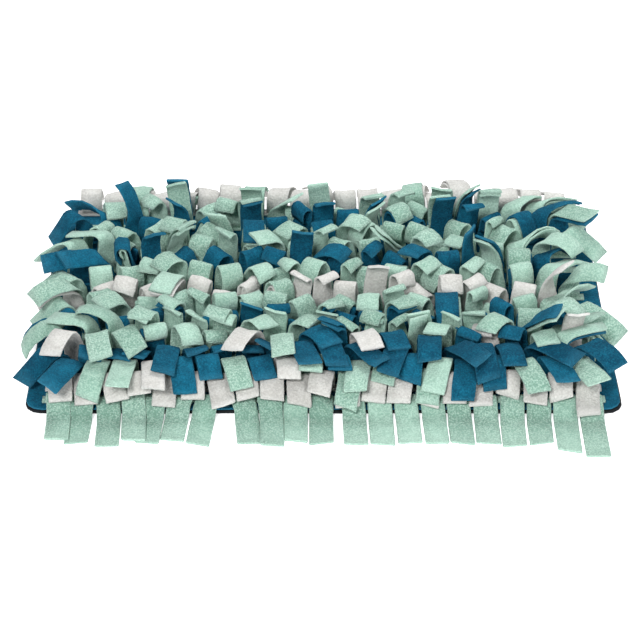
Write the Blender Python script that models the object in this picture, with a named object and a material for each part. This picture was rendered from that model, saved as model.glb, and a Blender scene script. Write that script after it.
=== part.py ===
"""Snuffle mat: a backed base cloth with fourteen sewn rows of fleece fringe, 21 strips to a row.

Metres, +Z up. The origin is the centre of the backing's underside, and -Y is the mat's front.
"""

import math
import random
from collections import namedtuple

import bmesh
import bpy
import numpy as np
from mathutils import Quaternion, Vector
from mathutils.bvhtree import BVHTree

# Base: a backing sheet and the cloth on it
MAT_WIDTH = 0.710
MAT_DEPTH = 0.470
BACKING = 0.004
CLOTH = 0.003
CLOTH_INSET = 0.0015
ROUNDING = 0.0012
CORNER_RADIUS = 0.020
CORNER_STEPS = 4
SEWN_GAP = 0.0003
CLOTH_TOP = BACKING + SEWN_GAP + CLOTH

# Fringe bands
BAND_WIDTH = 0.012
BAND_END = 0.005
FLEECE = 0.003
STRIPS = 21
STRIP_PITCH = 0.0313
STRIP_WIDTH = 0.0285

# How a strip is cut into segments
FINE_STEPS = 20
LEAST_SEGMENTS = 3
MOST_SEGMENTS = 6
SEGMENT_TURN = math.radians(30)
WAVE_TURNS = 7.5

# How closely the strips lie
CLEARANCE = 0.0010
EDGE_ROOM = 0.0022
ABOVE_FLOOR = 0.0012
HELD = 0.003  # of a strip's start, where it may touch its own band
ROOT_ROOM = 0.018  # kept free above the seam of a strip that isn't laid yet

# How the strips are laid
SEED = 20
TRIES = 60
KEPT_TRIES = 5  # of which the one that lies best is used
SEEN_FROM = Vector((0, -0.70, 0.71))  # the way that most broad faces turn
FACING = 0.020  # how much higher a strip may lie for a broad face that way
DROOPING = 0.7  # the share of its own droop that it may lie higher
REACH = 0.12
LOWER_BY = math.radians(10)
WELL_BENT = math.radians(80)  # the least bend of a strip, until few tries are left
LAST_TRIES = 0.8
DROOPS = 4
SHORTEN = 0.4  # the share of a strip's length, and
CLOSER = 0.6  # of its clearance, that the last try gives up
RAISE = 0.7  # the share that its upright part is longer then
OUTER = 0.72  # share of the half width from which strips fall outwards, in a row that
FREE_SPREAD = 40  # spreads so far

COLOURS = {
    "mint": (0.352, 0.539, 0.440),
    "white": (0.665, 0.679, 0.644),
    "blue": (0.0095, 0.122, 0.205),
    "black": (0.0060, 0.0075, 0.0085),
}

# A row of the table for each row of strips, from the front of the mat to its back.
# band: the number of its fringe band, or 0 for a row between bands, which only keeps room free.
# seam: how far the row lies from the cloth's front edge, in mm. length: of a strip, in mm.
# toward: the way the strips fall, in degrees from +X. spread: how far each may stray from it.
# rise: the shortest and longest upright part, in mm. standing: the share of strips that stand up.
# The strips of the first band are in a table of their own.
Row = namedtuple("Row", "band colour seam toward spread length rise standing")
ROWS = [
    Row(1, "mint", 17.5, -90, 0, 85, (3, 3), 0.0),
    Row(2, "white", 41.0, -90, 10, 70, (9, 12), 0.0),
    Row(0, "blue", 56.0, -92, 12, 96, (14, 20), 0.0),
    Row(3, "blue", 71.0, -84, 40, 104, (22, 32), 0.0),
    Row(0, "mint", 88.0, -88, 36, 108, (24, 38), 0.0),
    Row(4, "mint", 105.0, -90, 50, 106, (20, 40), 0.0),
    Row(5, "blue", 136.0, -90, 50, 106, (14, 38), 0.0),
    Row(6, "mint", 172.0, -90, 50, 106, (14, 38), 0.0),
    Row(7, "white", 206.0, -90, 55, 104, (12, 36), 0.02),
    Row(8, "mint", 242.0, -90, 55, 106, (14, 38), 0.02),
    Row(9, "blue", 276.0, -90, 55, 106, (14, 38), 0.02),
    Row(10, "mint", 308.0, -90, 55, 106, (14, 36), 0.02),
    Row(11, "mint", 344.0, -90, 60, 102, (12, 34), 0.02),
    Row(12, "blue", 379.0, -90, 60, 98, (12, 32), 0.03),
    Row(13, "mint", 414.0, -90, 60, 90, (10, 24), 0.03),
    Row(14, "white", 452.5, 90, 24, 88, (6, 10), 0.0),
]

# Strips whose place is set: {(seam in mm, column): Place}. way: in degrees from +X.
# bend: in degrees. rise and length: in mm.
Place = namedtuple("Place", "way bend rise length")
PLACES = {
    (41, 0): Place(-82, 140, 10, 72),
    (41, 20): Place(-88, 140, 10, 82),
    (56, 0): Place(-126, 150, 16, 108),
    (56, 1): Place(-100, 150, 18, 98),
    (56, 2): Place(-98, 150, 20, 96),
    (56, 17): Place(-72, 150, 16, 96),
    (56, 18): Place(-66, 150, 18, 96),
    (56, 19): Place(-62, 150, 18, 98),
    (71, 0): Place(-158, 140, 18, 98),
    (71, 1): Place(-94, 150, 20, 70),
    (71, 2): Place(-86, 150, 20, 68),
    (71, 3): Place(-94, 150, 20, 70),
    (71, 4): Place(-92, 150, 26, 104),
    (71, 5): Place(-84, 150, 20, 70),
    (71, 6): Place(-92, 150, 20, 72),
    (71, 7): Place(-88, 150, 20, 70),
    (71, 8): Place(-84, 150, 22, 100),
    (71, 9): Place(-76, 150, 26, 108),
    (71, 11): Place(-52, 150, 26, 108),
    (71, 13): Place(-104, 150, 26, 106),
    (71, 15): Place(-58, 150, 26, 108),
    (71, 16): Place(-84, 150, 24, 112),
    (71, 18): Place(-42, 150, 28, 112),
    (71, 20): Place(-50, 150, 24, 114),
    (105, 0): Place(-170, 130, 26, 116),
    (105, 18): Place(-32, 150, 32, 108),
    (105, 20): Place(-18, 140, 20, 106),
    (136, 0): Place(-150, 130, 20, 104),
    (136, 20): Place(-30, 150, 26, 106),
    (172, 0): Place(-165, 150, 22, 100),
    (206, 0): Place(-150, 150, 16, 98),
    (242, 0): Place(-165, 150, 22, 94),
    (276, 0): Place(-155, 150, 24, 96),
    (172, 20): Place(-20, 150, 22, 104),
    (206, 20): Place(-30, 150, 16, 98),
    (242, 20): Place(-8, 150, 16, 88),
    (276, 20): Place(-24, 150, 24, 92),
    (379, 2): Place(150, 34, 34, 84),
    (379, 7): Place(-84, 30, 38, 82),
    (379, 10): Place(-90, 34, 38, 80),
    (379, 15): Place(-84, 26, 38, 82),
    (379, 16): Place(-70, 34, 38, 80),
    (414, 4): Place(-90, 18, 36, 72),
    (414, 7): Place(-90, 22, 36, 74),
    (414, 10): Place(-80, 20, 36, 72),
    (414, 13): Place(-60, 44, 36, 76),
    (414, 15): Place(-100, 24, 36, 74),
    (414, 17): Place(-76, 26, 38, 80),
}
TALL = 30  # a set rise in mm from which a strip stands up

# The strips on the floor in front, from the left, in mm.
# root and tip: across the mat from its middle. out: from the mat's edge to the tip.
# over: whether the strip lies on its neighbours.
Front = namedtuple("Front", "root tip out over")
FRONT = [
    Front(-314.2, -309.9, 55, True),
    Front(-284.8, -287.0, 58, False),
    Front(-255.4, -251.0, 64, False),
    Front(-226.0, -220.6, 57, True),
    Front(-196.6, -205.0, 58, False),
    Front(-166.7, -175.8, 53, False),
    Front(-133.0, -146.0, 61, False),
    Front(-98.0, -85.7, 59, False),
    Front(-65.7, -59.0, 67, True),
    Front(-34.0, -31.8, 55, False),
    Front(-3.0, -2.4, 59, False),
    Front(33.5, 38.0, 61, False),
    Front(64.7, 68.8, 61, False),
    Front(95.0, 101.0, 58, False),
    Front(127.0, 132.3, 59, False),
    Front(157.0, 162.2, 59, False),
    Front(190.4, 192.0, 59, False),
    Front(223.5, 221.8, 64, False),
    Front(255.0, 253.0, 59, False),
    Front(285.0, 284.8, 74, False),
    Front(315.0, 316.8, 84, False),
]
OVER = 0.0035  # how much higher such a strip lies

Pose = namedtuple("Pose", "length twist sway rise arc bend curl wave phase")
Frame = namedtuple("Frame", "point across normal")
Laid = namedtuple("Laid", "tree low high")
MIDDLE_COLUMN = (STRIPS - 1) / 2
BACK = len(ROWS) - 1


def smooth(x):
    x = min(1.0, max(0.0, x))
    return x * x * (3 - 2 * x)


def turned(pose, s):
    """How far a strip has bent, twisted and swayed at the length s from its seam."""
    along = s / pose.length
    bent = pose.bend * smooth((s - pose.rise) / pose.arc)
    bent += pose.curl * smooth((along - 0.6) / 0.8) * 2
    bent += pose.wave * (math.sin(WAVE_TURNS * along + pose.phase) - math.sin(pose.phase)) * smooth(2 * along)
    return bent, pose.twist * smooth(along / 0.6), pose.sway * smooth(s / 0.02)


def fine_frames(seam, pose):
    """The strip's centreline from its seam, with the directions across it and out of its face."""
    step = pose.length / FINE_STEPS
    turn = Quaternion((1, 0, 0), 0)
    point = Vector(seam)
    frames = [Frame(point.copy(), Vector((1, 0, 0)), Vector((0, 1, 0)))]
    before = turned(pose, 0)
    for i in range(1, FINE_STEPS + 1):
        now = turned(pose, i * step)
        bent, twisted, swayed = (b - a for a, b in zip(before, now))
        turn = turn @ Quaternion((0, 1, 0), swayed) @ Quaternion((0, 0, 1), twisted)
        half_bent = Quaternion((1, 0, 0), bent / 2)
        point = point + (turn @ half_bent) @ Vector((0, 0, step))
        turn = turn @ half_bent @ half_bent
        frames.append(Frame(point.copy(), turn @ Vector((1, 0, 0)), turn @ Vector((0, 1, 0))))
        before = now
    return frames


def station_indices(pose):
    """Which fine frames the solid keeps: close together where the strip turns most."""
    weights = []
    before = turned(pose, 0)
    for i in range(1, FINE_STEPS + 1):
        now = turned(pose, i * pose.length / FINE_STEPS)
        bent, twisted, swayed = (abs(b - a) for a, b in zip(before, now))
        weights.append(bent + 1.6 * twisted + swayed + 0.03)
        before = now
    total = sum(weights)
    segments = min(MOST_SEGMENTS, max(LEAST_SEGMENTS, round(total / SEGMENT_TURN)))
    kept, done = [0], 0.0
    for i, weight in enumerate(weights, 1):
        done += weight
        if done >= total * len(kept) / segments - 1e-9:
            kept.append(i)
    kept[-1] = FINE_STEPS
    return kept


def corners(frame, half_width, half_thick):
    """A strip's four corners at a frame: back left, back right, front right, front left."""
    a, n = frame.across * half_width, frame.normal * half_thick
    return [frame.point - a + n, frame.point + a + n, frame.point + a - n, frame.point - a - n]


def ribbon_triangles(rings):
    """Triangles between rings of four corners, with the same diagonal on both faces of a strip."""
    faces = []
    for a in range(0, 4 * (rings - 1), 4):
        for k in range(4):
            low, next_low = a + k, a + (k + 1) % 4
            if k < 2:
                faces += [(low, low + 4, next_low + 4), (low, next_low + 4, next_low)]
            else:
                faces += [(low, low + 4, next_low), (low + 4, next_low + 4, next_low)]
    return faces


def grown(frames, extra):
    """The same strip, larger all round by extra, as corners of its rings."""
    last = frames[-1]
    ahead = (last.point - frames[-2].point).normalized() * extra
    rings = [*frames[:-1], Frame(last.point + ahead, last.across, last.normal)]
    return [c for f in rings for c in corners(f, STRIP_WIDTH / 2 + extra, FLEECE / 2 + extra)]


def as_laid(frames, extra=0.0):
    """A strip as an obstacle: a search tree of its faces and the box around it."""
    points = grown(frames, extra)
    end = len(points) - 4
    faces = ribbon_triangles(len(frames))
    faces += [(0, 1, 2), (0, 2, 3), (end + 3, end + 2, end + 1), (end + 3, end + 1, end)]
    low = Vector([min(p[k] for p in points) for k in range(3)])
    high = Vector([max(p[k] for p in points) for k in range(3)])
    return Laid(BVHTree.FromPolygons(points, faces, all_triangles=True), low, high)


def is_high_enough(frames):
    """Whether a strip stays above the cloth, or above the floor where it hangs past the edge."""
    for frame in frames[1:]:
        for p in corners(frame, STRIP_WIDTH / 2, FLEECE / 2):
            beside = abs(p.x) > MAT_WIDTH / 2 + EDGE_ROOM or abs(p.y) > MAT_DEPTH / 2 + EDGE_ROOM
            if p.z < (ABOVE_FLOOR if beside else CLOTH_TOP + EDGE_ROOM):
                return False
    return True


def box_room(low, high):
    """A box as an obstacle."""
    points = [Vector((x, y, z)) for z in (low[2], high[2]) for x, y in (
        (low[0], low[1]), (high[0], low[1]), (high[0], high[1]), (low[0], high[1])
    )]
    faces = [(k, (k + 1) % 4, (k + 1) % 4 + 4, k + 4) for k in range(4)] + [(4, 5, 6, 7)]
    return Laid(BVHTree.FromPolygons(points, faces), points[0], points[6])


def sewn_rooms():
    """The base cloth, with room round it, and the bands on it."""
    more = EDGE_ROOM - CLEARANCE
    x, y, z = MAT_WIDTH / 2 + more, MAT_DEPTH / 2 + more, CLOTH_TOP + more
    rooms = [box_room((-x, -y, -z), (x, y, z))]
    for r in range(len(ROWS)):
        y, top = seam(r, 0)[1:]
        reach = MIDDLE_COLUMN * STRIP_PITCH + STRIP_WIDTH / 2 + BAND_END
        rooms.append(box_room((-reach, y - BAND_WIDTH / 2, 0), (reach, y + BAND_WIDTH / 2, top)))
    return rooms


def is_clear(near, candidate):
    trees, lows, highs = near
    meet = ((lows < candidate.high) & (highs > candidate.low)).all(axis=1)
    return not any(trees[i].overlap(candidate.tree) for i in np.flatnonzero(meet))


def solid_frames(seam, pose):
    frames = fine_frames(seam, pose)
    return [frames[i] for i in station_indices(pose)]


def above_seam(frames):
    """The strip without the first millimetres that its own band holds."""
    first, second = frames[:2]
    share = min(0.9, HELD / (second.point - first.point).length)
    return [Frame(first.point.lerp(second.point, share), first.across, first.normal), *frames[1:]]


def root_stub(seam, height):
    """The room that a strip still to be laid needs above its seam."""
    frames = [
        Frame(Vector(seam) + Vector((0, 0, z)), Vector((1, 0, 0)), Vector((0, 1, 0)))
        for z in (0, height)
    ]
    return as_laid(frames)


def random_pose(rng, row, column, place, tried):
    """A pose that falls the row's way, or outwards near the mat's sides, and how far it may bend.

    tried goes from 0 to 1 as one try after another finds no room.
    """
    side = (column - MIDDLE_COLUMN) / MIDDLE_COLUMN
    heading = row.toward + rng.uniform(-row.spread, row.spread)
    if row.spread >= FREE_SPREAD and rng.random() < (abs(side) - OUTER) / (1 - OUTER):
        outward = 0 if side > 0 else 180 * math.copysign(1, row.toward)
        heading = outward + (row.toward - outward) * rng.uniform(-0.2, 0.45)
    if place:
        heading = place.way + rng.uniform(-50, 50) * tried
    heading = (heading + 180) % 360 - 180
    sign = 1 if heading <= 0 else -1
    twist = heading + 90 * sign + rng.uniform(-8, 8)
    standing = place.rise >= TALL if place else rng.random() < row.standing
    most = rng.uniform(5, 50) if standing else rng.uniform(110, 175)
    pose = Pose(
        length=row.length / 1000 * rng.uniform(0.95, 1.04) * (0.78 if standing else 1 - SHORTEN * tried),
        twist=math.radians(max(-85, min(85, twist))),
        sway=math.radians(rng.uniform(-12, 12) * min(1, row.spread / 30)),
        rise=rng.uniform(*row.rise) / 1000 * (1.4 if standing else 1 + RAISE * tried),
        arc=rng.uniform(0.020, 0.040),
        bend=0.0,
        curl=sign * math.radians(rng.uniform(-25, 35)),
        wave=math.radians(rng.uniform(0, 11)),
        phase=rng.uniform(0, 6.28),
    )
    if place:
        most = place.bend
        share = 0 if standing else tried
        pose = pose._replace(
            length=place.length / 1000 * (1 - SHORTEN * share),
            rise=place.rise / 1000 * (1 + RAISE * share),
        )
    return pose, sign * math.radians(most), standing


def is_free(laid, seam, pose, clearance):
    frames = solid_frames(seam, pose)
    return is_high_enough(frames) and is_clear(laid, as_laid(above_seam(frames), clearance))


def lowered(laid, seam, pose, most, least, clearance):
    """The strip bent over as far as there is room for it, and then its tip."""
    steps = max(1, round(abs(most) / LOWER_BY))
    bends = [most * i / steps for i in range(steps, 0, -1) if abs(most * i / steps) >= least]
    poses = (pose._replace(bend=bend) for bend in bends)
    best = next((tried for tried in poses if is_free(laid, seam, tried, clearance)), None)
    for _ in range(DROOPS if best else 0):
        tried = best._replace(curl=best.curl + math.copysign(LOWER_BY, most))
        if not is_free(laid, seam, tried, clearance):
            break
        best = tried
    return best


def facing(frames):
    """How much the strip's outer part turns a broad face to the front and upwards."""
    outer = frames[len(frames) // 2:]
    return sum(abs(f.normal.dot(SEEN_FROM)) for f in outer) / len(outer)


def within_reach(laid, seam):
    """The obstacles that a strip from this seam could meet, with their boxes in one array each."""
    near = [
        o for o in laid
        if all(o.low[k] - REACH < seam[k] < o.high[k] + REACH for k in range(3))
    ]
    return [o.tree for o in near], np.array([o.low for o in near]), np.array([o.high for o in near])


def lay_strip(laid, rng, seam, row, column, place):
    """The pose that lies best among a few free ones: low, with a broad face to the front."""
    near = within_reach(laid, seam)
    found = []
    for attempt in range(TRIES):
        tried = attempt / TRIES
        pose, most, standing = random_pose(rng, row, column, place, tried)
        least = 0 if standing or tried > LAST_TRIES else WELL_BENT
        best = lowered(near, seam, pose, most, least, CLEARANCE * (1 - CLOSER * tried))
        if best:
            frames = solid_frames(seam, best)
            heights = [f.point.z for f in frames]
            droop = max(heights) - heights[-1]
            worst = sum(heights) / len(heights) - FACING * facing(frames) - DROOPING * droop
            found.append((worst, best, frames))
            if standing or place or tried > LAST_TRIES or len(found) == KEPT_TRIES:
                break
    return min(found, key=lambda item: item[0])[1:] if found else None


def floor_frames(seam, strip):
    """A strip that goes over the mat's front edge and lies level on the floor, or on its neighbours."""
    raised = OVER if strip.over else 0
    profile = [  # distance out from the seam, height, share of the way across to the tip
        (0.0, seam[2], 0.0),
        (0.0, seam[2] + 0.0030 + raised, 0.0),
        (0.0045, seam[2] + 0.0062 + raised, 0.1),
        (0.0170, CLOTH_TOP + 0.0055 + raised, 0.45),
        (0.0260, 0.0062 + raised, 0.6),
        (0.0350, FLEECE / 2 + raised, 0.7),
        ((strip.out + ROWS[0].seam) / 1000, FLEECE / 2 + raised, 1.0),
    ]
    across = strip.tip / 1000 - seam[0]
    points = [Vector((seam[0] + across * share, seam[1] - out, z)) for out, z, share in profile]
    last = len(points) - 1
    frames = []
    for i, point in enumerate(points):
        before = points[max(i - 1, 0) if i < last - 1 else last - 1]
        ahead = points[min(i + 1, last)] - before
        yaw = math.atan2(ahead.x, -ahead.y) if i > 1 else 0.0
        across = Vector((math.cos(yaw), math.sin(yaw), 0))
        ahead = (ahead - across * ahead.dot(across)).normalized()
        frames.append(Frame(point, across, ahead.cross(across)))
    return frames


def lay_all():
    """Every strip, {(row, column): (pose, frames)}: the back row, and then from the front backwards.

    A strip that finds no room is left out, as where one was cut off.
    """
    rng = random.Random(SEED)
    seams = {(r, c): seam(r, c) for r in range(len(ROWS)) for c in range(columns(r))}
    set_places = {k: PLACES.get((ROWS[k[0]].seam, k[1])) for k in seams}
    order = sorted(
        seams, key=lambda k: (k[0] < BACK, k[0], not set_places[k], -abs(k[1] - MIDDLE_COLUMN))
    )
    stubs = {
        k: root_stub(place, max(ROOT_ROOM, set_places[k].rise / 1000 if set_places[k] else 0))
        for k, place in seams.items()
    }
    laid, strips = sewn_rooms(), {}
    for r, c in order:
        del stubs[r, c]
        if r == 0:
            found = None, floor_frames(seams[r, c], FRONT[c])
        else:
            obstacles = [*laid, *stubs.values()]
            found = lay_strip(obstacles, rng, seams[r, c], ROWS[r], c, set_places[r, c])
        if found:
            laid.append(as_laid(above_seam(found[1])))
            strips[r, c] = found
    return strips


def columns(row):
    """A row between bands is sewn half a pitch across, and has a strip less."""
    return STRIPS if ROWS[row].band else STRIPS - 1


def seam(row, column):
    """Where a strip leaves its band."""
    shift = 0 if ROWS[row].band else 0.5
    x = FRONT[column].root / 1000 if row == 0 else (column + shift - MIDDLE_COLUMN) * STRIP_PITCH
    return x, ROWS[row].seam / 1000 - MAT_DEPTH / 2, CLOTH_TOP + SEWN_GAP + FLEECE


def add_sheet(name, collection, holder, colour, inset, bottom, thickness):
    """A flat sheet of the base with rounded corners and edges."""
    bm = bmesh.new()
    bmesh.ops.create_grid(bm, x_segments=1, y_segments=1, size=0.5)
    size = (MAT_WIDTH - 2 * inset, MAT_DEPTH - 2 * inset, 1)
    bmesh.ops.scale(bm, vec=size, verts=bm.verts)
    bmesh.ops.bevel(
        bm, geom=bm.verts[:], offset=CORNER_RADIUS, offset_type="OFFSET",
        segments=CORNER_STEPS, profile=0.5, affect="VERTICES",
    )
    raised = bmesh.ops.extrude_face_region(bm, geom=bm.faces[:])["geom"]
    top = [v for v in raised if isinstance(v, bmesh.types.BMVert)]
    bmesh.ops.translate(bm, vec=(0, 0, thickness), verts=top)
    bmesh.ops.recalc_face_normals(bm, faces=bm.faces)
    rims = [e for e in bm.edges if e.verts[0].co.z == e.verts[1].co.z]
    bmesh.ops.bevel(
        bm, geom=rims, offset=ROUNDING, offset_type="OFFSET",
        segments=2, profile=0.5, affect="EDGES",
    )
    add_object(name, bm, colour, collection, holder).location = (0, 0, bottom)


def extrude_strip(bm, rings):
    """Pulls a strip out of the band's face at its seam, ring by ring of four corners."""
    middle = sum(rings[0], Vector()) / 4
    face = min(bm.faces, key=lambda f: (f.calc_center_median() - middle).length)
    ring = [min(face.verts, key=lambda v: (v.co - p).length) for p in rings[0]]
    for points in rings[1:]:
        order = [list(face.verts).index(v) for v in ring]
        made = bmesh.ops.extrude_face_region(bm, geom=[face])["geom"]
        bm.faces.remove(face)
        face = next(g for g in made if isinstance(g, bmesh.types.BMFace))
        new = [face.verts[i] for i in order]
        for v, p in zip(new, points):
            v.co = p
        for k in range(4):
            after = (k + 1) % 4
            side = next(f for f in ring[k].link_faces if {new[k], new[after]} <= set(f.verts))
            ends = (ring[k], new[after]) if k < 2 else (new[k], ring[after])
            bmesh.utils.face_split(side, *ends)
        ring = new


def add_fringe(collection, holder, colour, r, strips):
    """A band sewn across the cloth, with a row of strips that are one piece with it."""
    bm = bmesh.new()
    bmesh.ops.create_cube(bm, size=1)
    seams = [Vector(seam(r, c)) for c in range(STRIPS)]
    origin = Vector((0, seams[0].y, CLOTH_TOP + SEWN_GAP))
    length = seams[-1].x - seams[0].x + STRIP_WIDTH + 2 * BAND_END
    bmesh.ops.scale(bm, vec=(length, BAND_WIDTH, FLEECE), verts=bm.verts)
    bmesh.ops.translate(bm, vec=(0, 0, FLEECE / 2), verts=bm.verts)
    cuts = [((s.x + side * STRIP_WIDTH / 2, 0, 0), (1, 0, 0)) for s in seams for side in (-1, 1)]
    cuts += [((0, side * FLEECE / 2, 0), (0, 1, 0)) for side in (-1, 1)]
    for point, direction in cuts:
        geometry = [*bm.verts, *bm.edges, *bm.faces]
        bmesh.ops.bisect_plane(bm, geom=geometry, plane_co=point, plane_no=direction)
    for c in range(STRIPS):
        if (r, c) in strips:
            extrude_strip(bm, [
                [p - origin for p in corners(frame, STRIP_WIDTH / 2, FLEECE / 2)]
                for frame in strips[r, c][1]
            ])
    add_object(f"fringe_{ROWS[r].band:02d}", bm, colour, collection, holder).location = origin


def add_object(name, bm, colour, collection, holder):
    mesh = bpy.data.meshes.new(name)
    bm.to_mesh(mesh)
    bm.free()
    mesh.materials.append(colour)
    made = bpy.data.objects.new(name, mesh)
    made.parent = holder
    collection.objects.link(made)
    return made


def material(name, colour):
    made = bpy.data.materials.new(name)
    made.use_nodes = True
    shader = made.node_tree.nodes["Principled BSDF"]
    shader.inputs["Base Color"].default_value = (*colour, 1)
    shader.inputs["Roughness"].default_value = 0.95
    shader.inputs["Metallic"].default_value = 0
    return made


def main():
    for leftover in list(bpy.data.objects):
        bpy.data.objects.remove(leftover)
    collection = bpy.data.collections.new("snuffle_mat")
    bpy.context.scene.collection.children.link(collection)
    holder = bpy.data.objects.new("snuffle_mat", None)
    collection.objects.link(holder)
    colours = {name: material(name, colour) for name, colour in COLOURS.items()}
    strips = lay_all()
    sheet_bottom = BACKING + SEWN_GAP
    add_sheet("backing", collection, holder, colours["black"], 0, 0, BACKING)
    add_sheet("base_cloth", collection, holder, colours["blue"], CLOTH_INSET, sheet_bottom, CLOTH)
    for r, row in enumerate(ROWS):
        if row.band:
            add_fringe(collection, holder, colours[row.colour], r, strips)


main()
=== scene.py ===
"""Looks of the snuffle mat: fleece strips in a loose pile on a backed base cloth."""

import math
import random
from collections import namedtuple

import bpy
import numpy as np
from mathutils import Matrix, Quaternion, Vector, noise
from mathutils.bvhtree import BVHTree

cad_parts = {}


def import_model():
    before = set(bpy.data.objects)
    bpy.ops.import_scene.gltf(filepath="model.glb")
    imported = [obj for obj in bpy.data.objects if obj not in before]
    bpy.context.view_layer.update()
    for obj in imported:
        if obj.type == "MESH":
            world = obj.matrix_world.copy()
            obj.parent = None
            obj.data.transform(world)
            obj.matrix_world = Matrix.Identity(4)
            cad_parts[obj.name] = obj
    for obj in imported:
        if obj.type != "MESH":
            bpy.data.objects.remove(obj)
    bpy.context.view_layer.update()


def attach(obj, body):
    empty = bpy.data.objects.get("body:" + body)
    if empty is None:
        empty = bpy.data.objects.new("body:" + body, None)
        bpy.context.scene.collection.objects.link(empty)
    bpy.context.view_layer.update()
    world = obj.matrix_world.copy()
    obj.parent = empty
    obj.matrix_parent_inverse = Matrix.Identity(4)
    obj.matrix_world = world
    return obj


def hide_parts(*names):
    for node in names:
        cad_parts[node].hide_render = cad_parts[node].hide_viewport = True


# Lengths are in m, and angles in degrees, where no unit is given.

# Second strips, which lie behind others
PAIR_SHARE = 0.45  # of the strips, for which one is tried
PAIR_GAP = 0.0050  # from the middle of one strip's thickness to the other's
PAIR_SHIFT = 0.004  # the farthest that it moves sideways
PAIR_FAN = 9
PAIR_DRIFT = 0.05  # how far a fanned strip moves sideways on its way to the tip
PAIR_ROOM = 0.0002  # kept free round it

# The form of a strip
ON_FLOOR = 0.0002  # height of the lowest cloth
ROOT_DEPTH = 0.002  # how far a strip reaches down into its band
CROWNS = (-0.0020, 0.0018)  # how hollow or crowned a strip is across
CROWN_MEAN = 0.4  # taken off, so that a crowned strip keeps to its course
SKEW = 0.0040  # the farthest that one corner of its end stands out
FLATTER_OUT = 0.4  # the share of strips whose flatter face is turned out
BAND_SPANS = 60

# How uneven a strip is, and how many times in a metre that changes
UNEVEN_WIDTH, WIDTH_CHANGES = 0.03, 30  # as a share of its width
DENTS, DENT_CHANGES = 0.35, 55  # as a share of its thickness
RAGGED, RAGGED_CHANGES = 0.0007, 260  # of its cut edges

# Colours of the strips
MIX = {"mint": 0.66, "blue": 0.18, "white": 0.16}  # of the strips between the bands
FRONT_MIX = "BMMWBBMBWMBMMBMBBMBM"  # by initials, of the first such row from the left
FRONT_MIX_ROW = 2
PAINTED_LIGHTNESS = {1: -0.9, 2: -2.2, 3: -1.2, 4: -0.4}  # painted shade: how much paler or darker than others a band's strips are painted; below 0 is darker, where the lamps light the front more strongly
PARTNERS = {"mint": ["blue", "blue", "mint"], "blue": ["mint"], "white": ["mint", "white"]}

# Base: a backing sheet and the cloth on it
MAT_WIDTH = 0.710
MAT_DEPTH = 0.470
BACKING = 0.004
CLOTH = 0.003
CLOTH_INSET = 0.0015
CORNER_RADIUS = 0.020
SEWN_GAP = 0.0003
CLOTH_TOP = BACKING + SEWN_GAP + CLOTH
SHEET_POINTS = 240  # round a sheet's edge
SHEET_ROUNDING = 0.35  # of a sheet's edge, as a share of its thickness
WANDER_CHANGES = 14  # how many times in a metre a cut edge wanders
WANDER_IN = 0.4  # which keeps it mostly inside its line

# Fringe bands
BAND_WIDTH = 0.012
BAND_END = 0.005
FLEECE = 0.003
STRIPS = 21
STRIP_PITCH = 0.0313
STRIP_WIDTH = 0.0285

# How a strip is cut into segments
FINE_STEPS = 20
LEAST_SEGMENTS = 3
MOST_SEGMENTS = 6
SEGMENT_TURN = math.radians(30)
TWIST_COUNTS = 1.6  # a twist needs shorter segments than a bend
STEP_COUNTS = 0.03  # what each step adds to its turn

# Where along a strip its course turns, as shares of its length
WAVE_TURNS = 7.5  # of its wave, in radians over the whole length
CURL_FROM, CURL_OVER = 0.6, 0.8  # half of the curl's step is done at the tip, and is doubled
TWIST_OVER = 0.6
SWAY_OVER = 0.02  # in m

# How closely the strips lie
CLEARANCE = 0.0010
EDGE_ROOM = 0.0022
ABOVE_FLOOR = 0.0012
HELD = 0.003  # of a strip's start, where it may touch its own band
ROOT_ROOM = 0.018  # kept free above the seam of a strip that isn't laid yet

# How the strips are laid
SEED = 20
TRIES = 60
KEPT_TRIES = 5  # of which the one that lies best is used
SEEN_FROM = Vector((0, -0.70, 0.71))  # the way that most broad faces turn
FACING = 0.020  # how much higher a strip may lie for a broad face that way
DROOPING = 0.7  # the share of its own droop that it may lie higher
REACH = 0.12  # how near to its seam something is that a strip could meet
LOWER_BY = math.radians(10)  # the step in which its bend, and its tip's droop, are tried
WELL_BENT = math.radians(80)  # the least bend of a strip, until few tries are left
LAST_TRIES = 0.8
DROOPS = 4  # the most times that its tip is lowered too
SHORTEN = 0.4  # the share of a strip's length, and
CLOSER = 0.6  # of its clearance, that the last try gives up
RAISE = 0.7  # the share that its upright part is longer then
STANDING_LENGTH = 0.78  # of a strip that stands up, as a share of its row's
STANDING_RISE = 1.4
OUTER = 0.72  # share of the half width from which strips fall outwards, in a row that
FREE_SPREAD = 40  # spreads so far

# What a strip's pose is drawn from
OUTWARDS = (-0.2, 0.45)  # 0 is straight out of the mat's side, and 1 is the row's own way
STRAY = 8  # between the way that a strip falls and its face
SET_STRAY = 50  # from a way that is set, by the last try
FALLEN_BENDS = (110, 175)
STANDING_BENDS = (5, 50)
LENGTHS = (0.95, 1.04)  # as shares of the row's length
MOST_TWIST = 85
MOST_SWAY = 12
SWAYING_SPREAD = 30  # the spread from which strips sway so far
ARCS = (0.020, 0.040)  # over which it bends
CURLS = (-25, 35)
WAVES = (0, 11)
PHASES = (0, 6.28)  # in radians

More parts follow.
